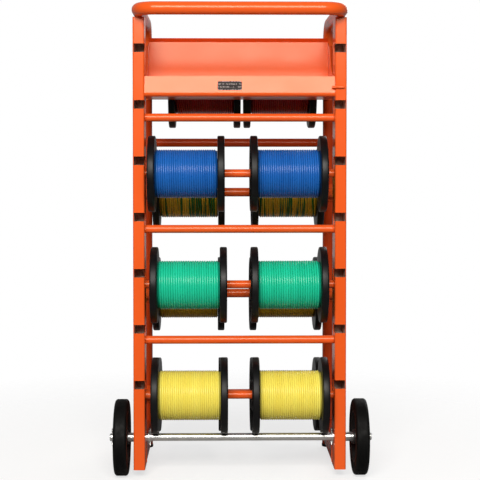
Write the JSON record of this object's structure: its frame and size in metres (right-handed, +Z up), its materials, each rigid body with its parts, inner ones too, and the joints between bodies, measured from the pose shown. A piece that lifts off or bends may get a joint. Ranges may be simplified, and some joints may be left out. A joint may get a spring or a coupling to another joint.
{
  "type": "wire spool cart",
  "caption": "Two-wheeled upright frame with a push handle, an open tool tray and lift-out rods that carry reels of wire in two rows.",
  "frame": {"origin": "on the floor, below the middle of the whole cart", "axes": "+X to the cart's right-hand side seen from its open front, +Y to the back, +Z up"},
  "size_m": [0.692, 0.5198, 1.2363],
  "materials": {
    "orange_powder_coat": "glossy orange powder coat",
    "spool_plastic": "moulded black plastic, satin",
    "zinc_plated_steel": "bright zinc plating",
    "tyre_rubber": "ribbed black rubber",
    "wheel_hub_plastic": "moulded black plastic",
    "foot_cap_plastic": "black plastic",
    "label_plate": "dark grey plate with no lettering",
    "wire_blue": "blue wire insulation",
    "wire_green": "green wire insulation",
    "wire_yellow": "yellow wire insulation",
    "wire_red": "red wire insulation",
    "wire_striped": "yellow and green striped wire insulation",
    "wire_black": "black wire insulation"
  },
  "bodies": {
    "frame": {"left_upright": "orange_powder_coat", "right_upright": "orange_powder_coat", "left_rear_leg": "orange_powder_coat", "right_rear_leg": "orange_powder_coat", "left_lower_rail": "orange_powder_coat", "right_lower_rail": "orange_powder_coat", "push_handle": "orange_powder_coat", "rear_cross_tube": "orange_powder_coat", "foot_caps": "foot_cap_plastic", "rear_rod_hooks": "orange_powder_coat", "axle": "zinc_plated_steel", "axle_spacers": "zinc_plated_steel", "axle_washers": "zinc_plated_steel", "axle_split_pins": "zinc_plated_steel", "tool_tray": "orange_powder_coat", "tray_bolts": "zinc_plated_steel", "tray_label_plate": "label_plate", "tray_stop_pin": "orange_powder_coat"},
    "left_wheel": {"left_tyre": "tyre_rubber", "left_wheel_hub": "wheel_hub_plastic"},
    "right_wheel": {"right_tyre": "tyre_rubber", "right_wheel_hub": "wheel_hub_plastic"},
    "front_rod_1": {"front_rod_1": "orange_powder_coat"},
    "front_rod_2": {"front_rod_2": "orange_powder_coat"},
    "front_rod_3": {"front_rod_3": "orange_powder_coat"},
    "front_rod_4": {"front_rod_4": "orange_powder_coat"},
    "front_rod_5": {"front_rod_5": "orange_powder_coat"},
    "front_rod_6": {"front_rod_6": "orange_powder_coat"},
    "rear_rod_1": {"rear_rod_1": "orange_powder_coat"},
    "rear_rod_2": {"rear_rod_2": "orange_powder_coat"},
    "rear_rod_3": {"rear_rod_3": "orange_powder_coat"},
    "rear_rod_4": {"rear_rod_4": "orange_powder_coat"},
    "reel_yellow_left": {"spool_yellow_left": "spool_plastic", "wire_yellow_left": "wire_yellow"},
    "reel_yellow_right": {"spool_yellow_right": "spool_plastic", "wire_yellow_right": "wire_yellow"},
    "reel_green_left": {"spool_green_left": "spool_plastic", "wire_green_left": "wire_green"},
    "reel_green_right": {"spool_green_right": "spool_plastic", "wire_green_right": "wire_green"},
    "reel_blue_left": {"spool_blue_left": "spool_plastic", "wire_blue_left": "wire_blue"},
    "reel_blue_right": {"spool_blue_right": "spool_plastic", "wire_blue_right": "wire_blue"},
    "reel_rear_black_left": {"spool_rear_black_left": "spool_plastic", "wire_rear_black_left": "wire_black"},
    "reel_rear_black_right": {"spool_rear_black_right": "spool_plastic", "wire_rear_black_right": "wire_black"},
    "reel_rear_yellow_left": {"spool_rear_yellow_left": "spool_plastic", "wire_rear_yellow_left": "wire_yellow"},
    "reel_rear_yellow_right": {"spool_rear_yellow_right": "spool_plastic", "wire_rear_yellow_right": "wire_yellow"},
    "reel_rear_striped_left": {"spool_rear_striped_left": "spool_plastic", "wire_rear_striped_left": "wire_striped"},
    "reel_rear_striped_right": {"spool_rear_striped_right": "spool_plastic", "wire_rear_striped_right": "wire_striped"},
    "reel_rear_red_left": {"spool_rear_red_left": "spool_plastic", "wire_rear_red_left": "wire_red"},
    "reel_rear_red_right": {"spool_rear_red_right": "spool_plastic", "wire_rear_red_right": "wire_red"}
  },
  "joints": [
    {"name": "left_wheel_spin", "type": "hinge", "parent": "frame", "child": "left_wheel", "pos_m": [-0.3105, -0.1535, 0.1], "axis": [1, 0, 0], "continuous": true},
    {"name": "right_wheel_spin", "type": "hinge", "parent": "frame", "child": "right_wheel", "pos_m": [0.3175, -0.1535, 0.1], "axis": [1, 0, 0], "continuous": true},
    {"name": "front_rod_1_lift", "type": "slide", "parent": "frame", "child": "front_rod_1", "axis": [0, 0, 1], "range_m": [0, 0.033]},
    {"name": "front_rod_2_lift", "type": "slide", "parent": "frame", "child": "front_rod_2", "axis": [0, 0, 1], "range_m": [0, 0.033]},
    {"name": "front_rod_3_lift", "type": "slide", "parent": "frame", "child": "front_rod_3", "axis": [0, 0, 1], "range_m": [0, 0.033]},
    {"name": "front_rod_4_lift", "type": "slide", "parent": "frame", "child": "front_rod_4", "axis": [0, 0, 1], "range_m": [0, 0.033]},
    {"name": "front_rod_5_lift", "type": "slide", "parent": "frame", "child": "front_rod_5", "axis": [0, 0, 1], "range_m": [0, 0.033]},
    {"name": "front_rod_6_lift", "type": "slide", "parent": "frame", "child": "front_rod_6", "axis": [0, 0, 1], "range_m": [0, 0.033]},
    {"name": "rear_rod_1_lift", "type": "slide", "parent": "frame", "child": "rear_rod_1", "axis": [0, 0, 1], "range_m": [0, 0.024]},
    {"name": "rear_rod_2_lift", "type": "slide", "parent": "frame", "child": "rear_rod_2", "axis": [0, 0, 1], "range_m": [0, 0.024]},
    {"name": "rear_rod_3_lift", "type": "slide", "parent": "frame", "child": "rear_rod_3", "axis": [0, 0, 1], "range_m": [0, 0.024]},
    {"name": "rear_rod_4_lift", "type": "slide", "parent": "frame", "child": "rear_rod_4", "axis": [0, 0, 1], "range_m": [0, 0.024]},
    {"name": "reel_yellow_left_spin", "type": "hinge", "parent": "front_rod_1", "child": "reel_yellow_left", "pos_m": [-0.131, -0.1535, 0.2105], "axis": [1, 0, 0], "continuous": true},
    {"name": "reel_yellow_right_spin", "type": "hinge", "parent": "front_rod_1", "child": "reel_yellow_right", "pos_m": [0.1325, -0.1535, 0.2105], "axis": [1, 0, 0], "continuous": true},
    {"name": "reel_green_left_spin", "type": "hinge", "parent": "front_rod_3", "child": "reel_green_left", "pos_m": [-0.1333, -0.1535, 0.5031], "axis": [1, 0, 0], "continuous": true},
    {"name": "reel_green_right_spin", "type": "hinge", "parent": "front_rod_3", "child": "reel_green_right", "pos_m": [0.129, -0.1535, 0.5031], "axis": [1, 0, 0], "continuous": true},
    {"name": "reel_blue_left_spin", "type": "hinge", "parent": "front_rod_5", "child": "reel_blue_left", "pos_m": [-0.1395, -0.1535, 0.7957], "axis": [1, 0, 0], "continuous": true},
    {"name": "reel_blue_right_spin", "type": "hinge", "parent": "front_rod_5", "child": "reel_blue_right", "pos_m": [0.1275, -0.1535, 0.7957], "axis": [1, 0, 0], "continuous": true},
    {"name": "reel_rear_black_left_spin", "type": "hinge", "parent": "rear_rod_1", "child": "reel_rear_black_left", "pos_m": [-0.138, 0.1545, 0.1586], "axis": [1, 0, 0], "continuous": true},
    {"name": "reel_rear_black_right_spin", "type": "hinge", "parent": "rear_rod_1", "child": "reel_rear_black_right", "pos_m": [0.137, 0.1545, 0.1586], "axis": [1, 0, 0], "continuous": true},
    {"name": "reel_rear_yellow_left_spin", "type": "hinge", "parent": "rear_rod_2", "child": "reel_rear_yellow_left", "pos_m": [-0.14, 0.1545, 0.4486], "axis": [1, 0, 0], "continuous": true},
    {"name": "reel_rear_yellow_right_spin", "type": "hinge", "parent": "rear_rod_2", "child": "reel_rear_yellow_right", "pos_m": [0.135, 0.1545, 0.4486], "axis": [1, 0, 0], "continuous": true},
    {"name": "reel_rear_striped_left_spin", "type": "hinge", "parent": "rear_rod_3", "child": "reel_rear_striped_left", "pos_m": [-0.139, 0.1545, 0.7386], "axis": [1, 0, 0], "continuous": true},
    {"name": "reel_rear_striped_right_spin", "type": "hinge", "parent": "rear_rod_3", "child": "reel_rear_striped_right", "pos_m": [0.14, 0.1545, 0.7386], "axis": [1, 0, 0], "continuous": true},
    {"name": "reel_rear_red_left_spin", "type": "hinge", "parent": "rear_rod_4", "child": "reel_rear_red_left", "pos_m": [-0.0945, 0.1545, 1.0286], "axis": [1, 0, 0], "continuous": true},
    {"name": "reel_rear_red_right_spin", "type": "hinge", "parent": "rear_rod_4", "child": "reel_rear_red_right", "pos_m": [0.118, 0.1545, 1.0286], "axis": [1, 0, 0], "continuous": true}
  ]
}
